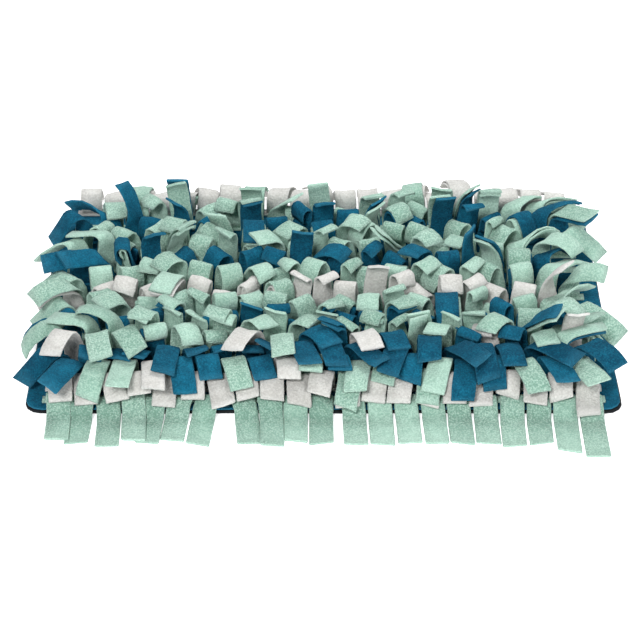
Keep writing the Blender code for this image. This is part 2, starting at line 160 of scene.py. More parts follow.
# A row of the table for each row of strips, from the front of the mat to its back.
# band: the number of its fringe band, or 0 for a row between bands, in which the colours are mixed.
# seam: how far the row lies from the cloth's front edge, in mm. length: of a strip, in mm.
# toward: the way the strips fall, in degrees from +X. spread: how far each may stray from it.
# rise: the shortest and longest upright part, in mm. standing: the share of strips that stand up.
# The strips of the first band are in a table of their own.
Row = namedtuple("Row", "band colour seam toward spread length rise standing")
ROWS = [
    Row(1, "mint", 17.5, -90, 0, 85, (3, 3), 0.0),
    Row(2, "white", 41.0, -90, 10, 70, (9, 12), 0.0),
    Row(0, "blue", 56.0, -92, 12, 96, (14, 20), 0.0),
    Row(3, "blue", 71.0, -84, 40, 104, (22, 32), 0.0),
    Row(0, "mint", 88.0, -88, 36, 108, (24, 38), 0.0),
    Row(4, "mint", 105.0, -90, 50, 106, (20, 40), 0.0),
    Row(5, "blue", 136.0, -90, 50, 106, (14, 38), 0.0),
    Row(6, "mint", 172.0, -90, 50, 106, (14, 38), 0.0),
    Row(7, "white", 206.0, -90, 55, 104, (12, 36), 0.02),
    Row(8, "mint", 242.0, -90, 55, 106, (14, 38), 0.02),
    Row(9, "blue", 276.0, -90, 55, 106, (14, 38), 0.02),
    Row(10, "mint", 308.0, -90, 55, 106, (14, 36), 0.02),
    Row(11, "mint", 344.0, -90, 60, 102, (12, 34), 0.02),
    Row(12, "blue", 379.0, -90, 60, 98, (12, 32), 0.03),
    Row(13, "mint", 414.0, -90, 60, 90, (10, 24), 0.03),
    Row(14, "white", 452.5, 90, 24, 88, (6, 10), 0.0),
]

# Strips whose place is set: {(seam in mm, column): Place}. way: in degrees from +X.
# bend: in degrees. rise and length: in mm.
Place = namedtuple("Place", "way bend rise length")
PLACES = {
    (41, 0): Place(-82, 140, 10, 72),
    (41, 20): Place(-88, 140, 10, 82),
    (56, 0): Place(-126, 150, 16, 108),
    (56, 1): Place(-100, 150, 18, 98),
    (56, 2): Place(-98, 150, 20, 96),
    (56, 17): Place(-72, 150, 16, 96),
    (56, 18): Place(-66, 150, 18, 96),
    (56, 19): Place(-62, 150, 18, 98),
    (71, 0): Place(-158, 140, 18, 98),
    (71, 1): Place(-94, 150, 20, 70),
    (71, 2): Place(-86, 150, 20, 68),
    (71, 3): Place(-94, 150, 20, 70),
    (71, 4): Place(-92, 150, 26, 104),
    (71, 5): Place(-84, 150, 20, 70),
    (71, 6): Place(-92, 150, 20, 72),
    (71, 7): Place(-88, 150, 20, 70),
    (71, 8): Place(-84, 150, 22, 100),
    (71, 9): Place(-76, 150, 26, 108),
    (71, 11): Place(-52, 150, 26, 108),
    (71, 13): Place(-104, 150, 26, 106),
    (71, 15): Place(-58, 150, 26, 108),
    (71, 16): Place(-84, 150, 24, 112),
    (71, 18): Place(-42, 150, 28, 112),
    (71, 20): Place(-50, 150, 24, 114),
    (105, 0): Place(-170, 130, 26, 116),
    (105, 18): Place(-32, 150, 32, 108),
    (105, 20): Place(-18, 140, 20, 106),
    (136, 0): Place(-150, 130, 20, 104),
    (136, 20): Place(-30, 150, 26, 106),
    (172, 0): Place(-165, 150, 22, 100),
    (206, 0): Place(-150, 150, 16, 98),
    (242, 0): Place(-165, 150, 22, 94),
    (276, 0): Place(-155, 150, 24, 96),
    (172, 20): Place(-20, 150, 22, 104),
    (206, 20): Place(-30, 150, 16, 98),
    (242, 20): Place(-8, 150, 16, 88),
    (276, 20): Place(-24, 150, 24, 92),
    (379, 2): Place(150, 34, 34, 84),
    (379, 7): Place(-84, 30, 38, 82),
    (379, 10): Place(-90, 34, 38, 80),
    (379, 15): Place(-84, 26, 38, 82),
    (379, 16): Place(-70, 34, 38, 80),
    (414, 4): Place(-90, 18, 36, 72),
    (414, 7): Place(-90, 22, 36, 74),
    (414, 10): Place(-80, 20, 36, 72),
    (414, 13): Place(-60, 44, 36, 76),
    (414, 15): Place(-100, 24, 36, 74),
    (414, 17): Place(-76, 26, 38, 80),
}
TALL = 30  # a set rise in mm from which a strip stands up

# The strips on the floor in front, from the left, in mm.
# root and tip: across the mat from its middle. out: from the mat's edge to the tip.
# over: whether the strip lies on its neighbours.
Front = namedtuple("Front", "root tip out over")
FRONT = [
    Front(-314.2, -309.9, 55, True),
    Front(-284.8, -287.0, 58, False),
    Front(-255.4, -251.0, 64, False),
    Front(-226.0, -220.6, 57, True),
    Front(-196.6, -205.0, 58, False),
    Front(-166.7, -175.8, 53, False),
    Front(-133.0, -146.0, 61, False),
    Front(-98.0, -85.7, 59, False),
    Front(-65.7, -59.0, 67, True),
    Front(-34.0, -31.8, 55, False),
    Front(-3.0, -2.4, 59, False),
    Front(33.5, 38.0, 61, False),
    Front(64.7, 68.8, 61, False),
    Front(95.0, 101.0, 58, False),
    Front(127.0, 132.3, 59, False),
    Front(157.0, 162.2, 59, False),
    Front(190.4, 192.0, 59, False),
    Front(223.5, 221.8, 64, False),
    Front(255.0, 253.0, 59, False),
    Front(285.0, 284.8, 74, False),
    Front(315.0, 316.8, 84, False),
]
OVER = 0.0035  # how much higher such a strip lies

Pose = namedtuple("Pose", "length twist sway rise arc bend curl wave phase")
Frame = namedtuple("Frame", "point across normal")
Laid = namedtuple("Laid", "tree low high")
MIDDLE_COLUMN = (STRIPS - 1) / 2
BACK = len(ROWS) - 1


def smooth(x):
    x = min(1.0, max(0.0, x))
    return x * x * (3 - 2 * x)


def turned(pose, s):
    """How far a strip has bent, twisted and swayed at the length s from its seam."""
    along = s / pose.length
    bent = pose.bend * smooth((s - pose.rise) / pose.arc)
    bent += pose.curl * smooth((along - CURL_FROM) / CURL_OVER) * 2
    waved = math.sin(WAVE_TURNS * along + pose.phase) - math.sin(pose.phase)
    bent += pose.wave * waved * smooth(2 * along)
    return bent, pose.twist * smooth(along / TWIST_OVER), pose.sway * smooth(s / SWAY_OVER)


def fine_frames(seam, pose):
    """The strip's centreline from its seam, with the directions across it and out of its face."""
    step = pose.length / FINE_STEPS
    turn = Quaternion((1, 0, 0), 0)
    point = Vector(seam)
    frames = [Frame(point.copy(), Vector((1, 0, 0)), Vector((0, 1, 0)))]
    before = turned(pose, 0)
    for i in range(1, FINE_STEPS + 1):
        now = turned(pose, i * step)
        bent, twisted, swayed = (b - a for a, b in zip(before, now))
        turn = turn @ Quaternion((0, 1, 0), swayed) @ Quaternion((0, 0, 1), twisted)
        half_bent = Quaternion((1, 0, 0), bent / 2)
        point = point + (turn @ half_bent) @ Vector((0, 0, step))
        turn = turn @ half_bent @ half_bent
        frames.append(Frame(point.copy(), turn @ Vector((1, 0, 0)), turn @ Vector((0, 1, 0))))
        before = now
    return frames


def station_indices(pose):
    """Which fine frames the solid keeps: close together where the strip turns most."""
    weights = []
    before = turned(pose, 0)
    for i in range(1, FINE_STEPS + 1):
        now = turned(pose, i * pose.length / FINE_STEPS)
        bent, twisted, swayed = (abs(b - a) for a, b in zip(before, now))
        weights.append(bent + TWIST_COUNTS * twisted + swayed + STEP_COUNTS)
        before = now
    total = sum(weights)
    segments = min(MOST_SEGMENTS, max(LEAST_SEGMENTS, round(total / SEGMENT_TURN)))
    kept, done = [0], 0.0
    for i, weight in enumerate(weights, 1):
        done += weight
        if done >= total * len(kept) / segments - 1e-9:
            kept.append(i)
    kept[-1] = FINE_STEPS
    return kept


def corners(frame, half_width, half_thick):
    """A strip's four corners at a frame: back left, back right, front right, front left."""
    a, n = frame.across * half_width, frame.normal * half_thick
    return [frame.point - a + n, frame.point + a + n, frame.point + a - n, frame.point - a - n]


def ribbon_triangles(rings):
    """Triangles between rings of four corners, with the same diagonal on both faces of a strip."""
    faces = []
    for a in range(0, 4 * (rings - 1), 4):
        for k in range(4):
            low, next_low = a + k, a + (k + 1) % 4
            if k < 2:
                faces += [(low, low + 4, next_low + 4), (low, next_low + 4, next_low)]
            else:
                faces += [(low, low + 4, next_low), (low + 4, next_low + 4, next_low)]
    return faces


def grown(frames, extra):
    """The same strip, larger all round by extra, as corners of its rings."""
    last = frames[-1]
    ahead = (last.point - frames[-2].point).normalized() * extra
    rings = [*frames[:-1], Frame(last.point + ahead, last.across, last.normal)]
    return [c for f in rings for c in corners(f, STRIP_WIDTH / 2 + extra, FLEECE / 2 + extra)]


def as_laid(frames, extra=0.0):
    """A strip as an obstacle: a search tree of its faces and the box around it."""
    points = grown(frames, extra)
    end = len(points) - 4
    faces = ribbon_triangles(len(frames))
    faces += [(0, 1, 2), (0, 2, 3), (end + 3, end + 2, end + 1), (end + 3, end + 1, end)]
    low = Vector([min(p[k] for p in points) for k in range(3)])
    high = Vector([max(p[k] for p in points) for k in range(3)])
    return Laid(BVHTree.FromPolygons(points, faces, all_triangles=True), low, high)


def is_high_enough(frames):
    """Whether a strip stays above the cloth, or above the floor where it hangs past the edge."""
    for frame in frames[1:]:
        for p in corners(frame, STRIP_WIDTH / 2, FLEECE / 2):
            beside = abs(p.x) > MAT_WIDTH / 2 + EDGE_ROOM or abs(p.y) > MAT_DEPTH / 2 + EDGE_ROOM
            if p.z < (ABOVE_FLOOR if beside else CLOTH_TOP + EDGE_ROOM):
                return False
    return True


def box_room(low, high):
    """A box as an obstacle."""
    points = [Vector((x, y, z)) for z in (low[2], high[2]) for x, y in (
        (low[0], low[1]), (high[0], low[1]), (high[0], high[1]), (low[0], high[1])
    )]
    faces = [(k, (k + 1) % 4, (k + 1) % 4 + 4, k + 4) for k in range(4)] + [(4, 5, 6, 7)]
    return Laid(BVHTree.FromPolygons(points, faces), points[0], points[6])


def sewn_rooms():
    """The base cloth, with room round it, and the bands on it."""
    more = EDGE_ROOM - CLEARANCE
    x, y, z = MAT_WIDTH / 2 + more, MAT_DEPTH / 2 + more, CLOTH_TOP + more
    rooms = [box_room((-x, -y, -z), (x, y, z))]
    for r in range(len(ROWS)):
        y, top = seam(r, 0)[1:]
        reach = MIDDLE_COLUMN * STRIP_PITCH + STRIP_WIDTH / 2 + BAND_END
        rooms.append(box_room((-reach, y - BAND_WIDTH / 2, 0), (reach, y + BAND_WIDTH / 2, top)))
    return rooms


def is_clear(near, candidate):
    trees, lows, highs = near
    meet = ((lows < candidate.high) & (highs > candidate.low)).all(axis=1)
    return not any(trees[i].overlap(candidate.tree) for i in np.flatnonzero(meet))


def solid_frames(seam, pose):
    frames = fine_frames(seam, pose)
    return [frames[i] for i in station_indices(pose)]


def above_seam(frames):
    """The strip without the first millimetres that its own band holds."""
    first, second = frames[:2]
    share = min(0.9, HELD / (second.point - first.point).length)
    return [Frame(first.point.lerp(second.point, share), first.across, first.normal), *frames[1:]]


def root_stub(seam, height):
    """The room that a strip still to be laid needs above its seam."""
    frames = [
        Frame(Vector(seam) + Vector((0, 0, z)), Vector((1, 0, 0)), Vector((0, 1, 0)))
        for z in (0, height)
    ]
    return as_laid(frames)


def random_pose(rng, row, column, place, tried):
    """A pose that falls the row's way, or outwards near the mat's sides, and how far it may bend.

    tried goes from 0 to 1 as one try after another finds no room.
    """
    side = (column - MIDDLE_COLUMN) / MIDDLE_COLUMN
    heading = row.toward + rng.uniform(-row.spread, row.spread)
    if row.spread >= FREE_SPREAD and rng.random() < (abs(side) - OUTER) / (1 - OUTER):
        outward = 0 if side > 0 else 180 * math.copysign(1, row.toward)
        heading = outward + (row.toward - outward) * rng.uniform(*OUTWARDS)
    if place:
        heading = place.way + rng.uniform(-SET_STRAY, SET_STRAY) * tried
    heading = (heading + 180) % 360 - 180
    sign = 1 if heading <= 0 else -1
    twist = heading + 90 * sign + rng.uniform(-STRAY, STRAY)
    standing = place.rise >= TALL if place else rng.random() < row.standing
    most = rng.uniform(*(STANDING_BENDS if standing else FALLEN_BENDS))
    shortened = STANDING_LENGTH if standing else 1 - SHORTEN * tried
    pose = Pose(
        length=row.length / 1000 * rng.uniform(*LENGTHS) * shortened,
        twist=math.radians(max(-MOST_TWIST, min(MOST_TWIST, twist))),
        sway=math.radians(
            rng.uniform(-MOST_SWAY, MOST_SWAY) * min(1, row.spread / SWAYING_SPREAD)
        ),
        rise=rng.uniform(*row.rise) / 1000 * (STANDING_RISE if standing else 1 + RAISE * tried),
        arc=rng.uniform(*ARCS),
        bend=0.0,
        curl=sign * math.radians(rng.uniform(*CURLS)),
        wave=math.radians(rng.uniform(*WAVES)),
        phase=rng.uniform(*PHASES),
    )
    if place:
        most = place.bend
        share = 0 if standing else tried
        pose = pose._replace(
            length=place.length / 1000 * (1 - SHORTEN * share),
            rise=place.rise / 1000 * (1 + RAISE * share),
        )
    return pose, sign * math.radians(most), standing


def is_free(laid, seam, pose, clearance):
    frames = solid_frames(seam, pose)
    return is_high_enough(frames) and is_clear(laid, as_laid(above_seam(frames), clearance))


def lowered(laid, seam, pose, most, least, clearance):
    """The strip bent over as far as there is room for it, and then its tip."""
    steps = max(1, round(abs(most) / LOWER_BY))
    bends = [most * i / steps for i in range(steps, 0, -1) if abs(most * i / steps) >= least]
    poses = (pose._replace(bend=bend) for bend in bends)
    best = next((tried for tried in poses if is_free(laid, seam, tried, clearance)), None)
    for _ in range(DROOPS if best else 0):
        tried = best._replace(curl=best.curl + math.copysign(LOWER_BY, most))
        if not is_free(laid, seam, tried, clearance):
            break
        best = tried
    return best


def facing(frames):
    """How much the strip's outer part turns a broad face to the front and upwards."""
    outer = frames[len(frames) // 2:]
    return sum(abs(f.normal.dot(SEEN_FROM)) for f in outer) / len(outer)


def within_reach(laid, seam):
    """The obstacles that a strip from this seam could meet, with their boxes in one array each."""
    near = [
        o for o in laid
        if all(o.low[k] - REACH < seam[k] < o.high[k] + REACH for k in range(3))
    ]
    return [o.tree for o in near], np.array([o.low for o in near]), np.array([o.high for o in near])


def lay_strip(laid, rng, seam, row, column, place):
    """The pose that lies best among a few free ones: low, with a broad face to the front."""
    near = within_reach(laid, seam)
    found = []
    for attempt in range(TRIES):
        tried = attempt / TRIES
        pose, most, standing = random_pose(rng, row, column, place, tried)
        least = 0 if standing or tried > LAST_TRIES else WELL_BENT
        best = lowered(near, seam, pose, most, least, CLEARANCE * (1 - CLOSER * tried))
        if best:
            frames = solid_frames(seam, best)
            heights = [f.point.z for f in frames]
            droop = max(heights) - heights[-1]
            worst = sum(heights) / len(heights) - FACING * facing(frames) - DROOPING * droop
            found.append((worst, best, frames))
            if standing or place or tried > LAST_TRIES or len(found) == KEPT_TRIES:
                break
    return min(found, key=lambda item: item[0])[1:] if found else None


def floor_frames(seam, strip):
    """A strip that goes over the front edge and lies level on the floor, or on its neighbours."""
    raised = OVER if strip.over else 0
    profile = [  # distance out from the seam, height, share of the way across to the tip
        (0.0, seam[2], 0.0),
        (0.0, seam[2] + 0.0030 + raised, 0.0),
        (0.0045, seam[2] + 0.0062 + raised, 0.1),
        (0.0170, CLOTH_TOP + 0.0055 + raised, 0.45),
        (0.0260, 0.0062 + raised, 0.6),
        (0.0350, FLEECE / 2 + raised, 0.7),
        ((strip.out + ROWS[0].seam) / 1000, FLEECE / 2 + raised, 1.0),
    ]
    across = strip.tip / 1000 - seam[0]
    points = [Vector((seam[0] + across * share, seam[1] - out, z)) for out, z, share in profile]
    last = len(points) - 1
    frames = []
    for i, point in enumerate(points):
        before = points[max(i - 1, 0) if i < last - 1 else last - 1]
        ahead = points[min(i + 1, last)] - before
        yaw = math.atan2(ahead.x, -ahead.y) if i > 1 else 0.0
        across = Vector((math.cos(yaw), math.sin(yaw), 0))
        ahead = (ahead - across * ahead.dot(across)).normalized()
        frames.append(Frame(point, across, ahead.cross(across)))
    return frames


def lay_all():
    """Every strip, {(row, column): (pose, frames)}: the back row, then from the front backwards.

    A strip that finds no room is left out.
    """
    rng = random.Random(SEED)
    seams = {(r, c): seam(r, c) for r in range(len(ROWS)) for c in range(columns(r))}
    set_places = {k: PLACES.get((ROWS[k[0]].seam, k[1])) for k in seams}
    order = sorted(
        seams, key=lambda k: (k[0] < BACK, k[0], not set_places[k], -abs(k[1] - MIDDLE_COLUMN))
    )
    stubs = {
        k: root_stub(place, max(ROOT_ROOM, set_places[k].rise / 1000 if set_places[k] else 0))
        for k, place in seams.items()
    }
    laid, strips = sewn_rooms(), {}
    for r, c in order:
        del stubs[r, c]
        if r == 0:
            found = None, floor_frames(seams[r, c], FRONT[c])
        else:
            obstacles = [*laid, *stubs.values()]
            found = lay_strip(obstacles, rng, seams[r, c], ROWS[r], c, set_places[r, c])
        if found:
            laid.append(as_laid(above_seam(found[1])))
            strips[r, c] = found
    return strips


def columns(row):
    """A row between bands is sewn half a pitch across, and has a strip less."""
    return STRIPS if ROWS[row].band else STRIPS - 1


def seam(row, column):
    """Where a strip leaves its band."""
    shift = 0 if ROWS[row].band else 0.5
    x = FRONT[column].root / 1000 if row == 0 else (column + shift - MIDDLE_COLUMN) * STRIP_PITCH
    return x, ROWS[row].seam / 1000 - MAT_DEPTH / 2, CLOTH_TOP + SEWN_GAP + FLEECE


def smoothed(frames):
    """The same course as a smooth curve through the frames' points."""
    last = len(frames) - 1
    fine = []
    for i in range(FINE_STEPS + 1):
        at = min(i / FINE_STEPS * last, last - 1e-6)
        k, t = int(at), at - int(at)
        p = [frames[min(max(j, 0), last)].point for j in range(k - 1, k + 3)]
        point = 0.5 * (
            2 * p[1]
            + (p[2] - p[0]) * t
            + (2 * p[0] - 5 * p[1] + 4 * p[2] - p[3]) * t ** 2
            + (3 * p[1] - p[0] - 3 * p[2] + p[3]) * t ** 3
        )
        point.z = max(point.z, FLEECE / 2)
        across = frames[k].across.lerp(frames[k + 1].across, t).normalized()
        normal = frames[k].normal.lerp(frames[k + 1].normal, t).normalized()
        fine.append(Frame(point, across, normal))
    return fine


def is_strip_itself(other, frames):
    """Whether an obstacle is this very strip, which is told by the strip's tip."""
    tip = frames[-1].point
    inside = all(other.low[k] - 1e-6 <= tip[k] <= other.high[k] + 1e-6 for k in range(3))
    return inside and other.tree.find_nearest(tip, FLEECE)[0] is not None


def follower(rng, frames, side):
    """The course of a second strip close to a face of another, moved and fanned out a little."""
    shift = rng.uniform(-PAIR_SHIFT, PAIR_SHIFT)
    fan = math.radians(rng.uniform(-PAIR_FAN, PAIR_FAN))
    course = []
    for i, f in enumerate(frames):
        along = i / FINE_STEPS
        turn = Quaternion(f.normal, fan * smooth(along))
        point = f.point + f.normal * side * PAIR_GAP + f.across * shift * smooth(along * 1.5)
        point += f.across * math.sin(fan) * along * PAIR_DRIFT
        course.append(Frame(point, turn @ f.across, f.normal))
    return course


def lay_pairs(strips, laid):
    """Second strips that lie behind others and follow them: {colour: [fine frames]}."""
    rng = random.Random(SEED + 2)
    found = {"mint": [], "blue": [], "white": []}
    for (r, _), frames in strips.items():
        if r == 0 or rng.random() > PAIR_SHARE:
            continue
        others = within_reach([o for o in laid if not is_strip_itself(o, frames)], frames[0].point)
        for side in rng.sample((-1, 1), 2):
            course = follower(rng, frames, side)
            coarse = above_seam(course[:1] + course[4::4])
            if is_high_enough(course[2:]) and is_clear(others, as_laid(coarse, PAIR_ROOM)):
                laid.append(as_laid(coarse))
                found[rng.choice(PARTNERS[ROWS[r].colour])].append(course)
                break
    return found


# ---- Meshes of the cloth


class Cloth:
    """The points and faces of one piece, with what its finish reads at each point."""

    def __init__(self):
        self.points, self.faces, self.smooth = [], [], []
        self.tone, self.pile, self.edge = [], [], []

    def add_ring(self, points, tone, pile, edge):
        start = len(self.points)
        self.points += points
        self.tone += [tone] * len(points)
        self.pile += pile
        self.edge += edge
        return list(range(start, start + len(points)))

    def bridge(self, low, high):
        count = len(low)
        for k in range(count):
            after = (k + 1) % count
            self.faces.append((low[k], high[k], high[after], low[after]))
            self.smooth.append(True)

    def cap(self, ring):
        self.faces.append(tuple(ring))
        self.smooth.append(False)

    def finish(self, name, finish, slot):
        mesh = bpy.data.meshes.new(name)
        mesh.from_pydata(self.points, [], self.faces)
        mesh.polygons.foreach_set("use_smooth", self.smooth)
        for label, values in (("tone", self.tone), ("pile", self.pile), ("edge", self.edge)):
            mesh.attributes.new(label, "FLOAT", "POINT").data.foreach_set("value", values)
        mesh.materials.append(finish)
        mesh.update()
        made = bpy.data.objects.new(name, mesh)
        bpy.context.scene.collection.objects.link(made)
        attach(made, "root")
        return made


# The section of a strip: share of the half width, share of the half thickness
SECTION = [(-1, 0), (-0.9, 1), (0, 1), (0.9, 1), (1, 0), (0.9, -1), (0, -1), (-0.9, -1)]
SPANS = 11  # along a strip, so that it has 90 faces at most
RING_COUNTS = 0.12  # what each step adds to its turn, in radians


def kept_rings(frames, count):
    """Which frames a strip's mesh keeps: closer together where it bends."""
    turns = [0.0]
    for a, b in zip(frames, frames[1:]):
        turn = a.normal.angle(b.normal, 0) + a.across.angle(b.across, 0)
        turns.append(turns[-1] + turn + RING_COUNTS)
    kept = [0]
    for i, done in enumerate(turns[1:], 1):
        if done >= turns[-1] * len(kept) / count - 1e-9:
            kept.append(i)
    kept[-1] = len(frames) - 1
    return kept


def add_ribbon(
    cloth, frames, width, thick, rng,
    cup=0.0, skew=0.0, ragged=0.0, spans=SPANS, flip=False, painted_lightness=0.0,
):
    """A strip of fleece along the frames, crowned or hollow across, with soft cut edges."""
    # painted shade: each strip's random lightness, moved by the shade painted onto its band
    tone = rng.uniform(-1, 1) + painted_lightness
    offset = Vector((rng.uniform(-9, 9), rng.uniform(-9, 9), rng.uniform(-9, 9)))
    last, ring = len(frames) - 1, None
    for i in kept_rings(frames, spans):
        f = frames[i]
        ahead = (frames[min(i + 1, last)].point - frames[max(i - 1, 0)].point).normalized()
        along = i / last
        half = width / 2 * (1 + UNEVEN_WIDTH * noise.noise(offset + f.point * WIDTH_CHANGES))
        dent = thick * DENTS * noise.noise(f.point * DENT_CHANGES + offset) * smooth(along * 3)
        points = []
        for u, v in SECTION:
            hollow = cup * (u * u - CROWN_MEAN) * smooth(along * 2.5)
            out = f.normal * (v * thick / 2 + hollow + dent)
            fray = ragged * noise.noise(f.point * RAGGED_CHANGES + offset * (2 + u)) * abs(u)
            side = f.across * (u * half + fray)
            tip = ahead * skew * u * smooth((along - 0.8) * 5)
            point = f.point + out + side + tip
            points.append(Vector((point.x, point.y, max(point.z, ON_FLOOR))))
        pile = [0.5 if v == 0 else float((v > 0) != flip) for _, v in SECTION]
        # edge marks the cut edges and the tip, which the finishes paint paler as painted sheen
        edge = [1.0 if abs(u) == 1 else 0.0 for u, _ in SECTION]
        made = cloth.add_ring(points, tone, pile, edge if i < last else [1.0] * len(edge))
        if ring:
            cloth.bridge(ring, made)
        else:
            cloth.cap(made)
        ring = made
    cloth.cap(ring[::-1])


def add_strips(cloth, rng, strips, laid_flat=False, painted_lightness=0.0):
    for frames in strips:
        add_ribbon(
            cloth, root_in_band(frames), STRIP_WIDTH, FLEECE, rng,
            cup=0.0 if laid_flat else rng.uniform(*CROWNS),
            skew=rng.uniform(-SKEW, SKEW), ragged=RAGGED, flip=rng.random() < FLATTER_OUT,
            painted_lightness=painted_lightness,
        )


def root_in_band(frames):
    """The strip's course from inside its band, so that the two are one piece of cloth."""
    first = frames[0]
    root = first.point - Vector((0, 0, ROOT_DEPTH))
    return [Frame(root, first.across, first.normal), *frames[1:]]


def add_band(cloth, rng, y, first_root, last_root):
    """The uncut band that holds a row of strips."""
    reach = STRIP_WIDTH / 2 + BAND_END
    low_x, high_x = first_root - reach, last_root + reach
    z = CLOTH_TOP + SEWN_GAP + FLEECE / 2
    step = (high_x - low_x) / BAND_SPANS
    across, normal = Vector((0, 1, 0)), Vector((0, 0, 1))
    frames = [
        Frame(Vector((low_x + step * i, y, z)), across, normal) for i in range(BAND_SPANS + 1)
    ]
    add_ribbon(cloth, frames, BAND_WIDTH, FLEECE, rng, spans=BAND_SPANS)


def add_row(name, colour, rng, y, strips, roots, laid_flat=False, painted_lightness=0.0):
    """One row of fringe: its band and its strips."""
    cloth = Cloth()
    add_band(cloth, rng, y, min(roots), max(roots))
    add_strips(cloth, rng, strips, laid_flat, painted_lightness)
    return cloth.finish(name, FINISHES[colour], SLOTS[colour])


def rounded_rectangle(width, depth, radius, points):
    """Points round a rectangle with rounded corners, evenly along it, with the way out at each."""
    straight_x, straight_y = width - 2 * radius, depth - 2 * radius
    quarter = radius * math.pi / 2
    total = 2 * (straight_x + straight_y) + 4 * quarter
    found = []
    for i in range(points):
        s = total * i / points
        for k, straight in enumerate((straight_x, straight_y, straight_x, straight_y)):
            if s < straight + quarter:
                break
            s -= straight + quarter
        turn = k * math.pi / 2
        corner = [(1, -1), (1, 1), (-1, 1), (-1, -1)][k]
        middle = Vector((corner[0] * straight_x / 2, corner[1] * straight_y / 2, 0))
        along = Vector((math.cos(turn), math.sin(turn), 0))
        out = Vector((math.sin(turn), -math.cos(turn), 0))
        if s < straight:
            found.append((middle + out * radius - along * (straight - s), out))
        else:
            angle = (s - straight) / radius
            out = out * math.cos(angle) + along * math.sin(angle)
            found.append((middle + out * radius, out))
    return found


def add_sheet(name, colour, inset, bottom, thickness, wander, seed):
    """A flat sheet of the base, with a soft cut edge that isn't quite straight."""
    rng = random.Random(seed)
    offset = Vector([rng.uniform(-9, 9) for _ in range(3)])
    width, depth = MAT_WIDTH - 2 * inset, MAT_DEPTH - 2 * inset
    outline = rounded_rectangle(width, depth, CORNER_RADIUS, SHEET_POINTS)
    cloth = Cloth()
    round_edge = thickness * SHEET_ROUNDING
    inner = CORNER_RADIUS * 0.9
    profile = [  # distance in from the edge, height, is on the cut edge
        (inner, 0.0, 0), (inner / 2, 0.0, 0), (round_edge, 0.0, 0), (0.0, round_edge, 1),
        (0.0, thickness - round_edge, 1), (round_edge, thickness, 0), (inner / 2, thickness, 0),
        (inner, thickness, 0),
    ]
    rings = []
    for inward, height, edge in profile:
        points = []
        for point, out in outline:
            waver = noise.noise(point * WANDER_CHANGES + offset) - WANDER_IN
            waver = wander * waver * smooth(1 - inward / inner)
            points.append(point + out * (waver - inward) + Vector((0, 0, bottom + height)))
        upper, cut = [float(height > 0)] * len(points), [float(edge)] * len(points)
        rings.append(cloth.add_ring(points, 0.0, upper, cut))
    cloth.cap(rings[0][::-1])
    for low, high in zip(rings, rings[1:]):
        cloth.bridge(high, low)
    cloth.cap(rings[-1])
    return cloth.finish(name, FINISHES[colour], SLOTS[colour])


# ---- Finishes


# Each fleece's edge colour is painted sheen: the paler look of its fuzzy cut edges where they catch
# the light. The blue one also gives the blue's real pale lint.
MINT_DEEP = (0.165, 0.310, 0.240)
MINT_LIGHT = (0.485, 0.690, 0.580)
MINT_EDGE_SHEEN = (0.510, 0.700, 0.600)
BLUE_DEEP = (0.0036, 0.055, 0.100)
BLUE_LIGHT = (0.0100, 0.185, 0.300)
BLUE_LINT_AND_EDGE_SHEEN = (0.055, 0.245, 0.365)
WHITE_DEEP = (0.420, 0.412, 0.385)
WHITE_LIGHT = (0.700, 0.695, 0.665)
WHITE_EDGE_SHEEN = (0.740, 0.738, 0.715)
BLACK_DEEP = (0.0035, 0.0045, 0.0055)
BLACK_LIGHT = (0.022, 0.026, 0.030)
SLOTS = {
    "mint": "mint_fleece", "white": "white_fleece", "blue": "blue_fleece", "black": "black_backing",
}
FINISHES = {}  # filled in main, one for each colour


class Value:
    """A socket in a finish's nodes, for use in plain expressions."""

    def __init__(self, finish, socket):
        self.finish, self.socket = finish, socket

    def math(self, operation, first, second):
        return self.finish.node("Math", {"operation": operation}, {0: first, 1: second})

    def __add__(self, other):
        return self.math("ADD", self, other)

    def __sub__(self, other):
        return self.math("SUBTRACT", self, other)

    def __mul__(self, other):
        return self.math("MULTIPLY", self, other)

    def __rsub__(self, other):
        return self.math("SUBTRACT", other, self)

    __radd__ = __add__
    __rmul__ = __mul__

    def between(self, low, high):
        """0 below low, 1 above high, and smooth from one to the other."""
        return self.finish.node(
            "MapRange", {"interpolation_type": "SMOOTHSTEP"},
            {"Value": self, "From Min": low, "From Max": high},
        )


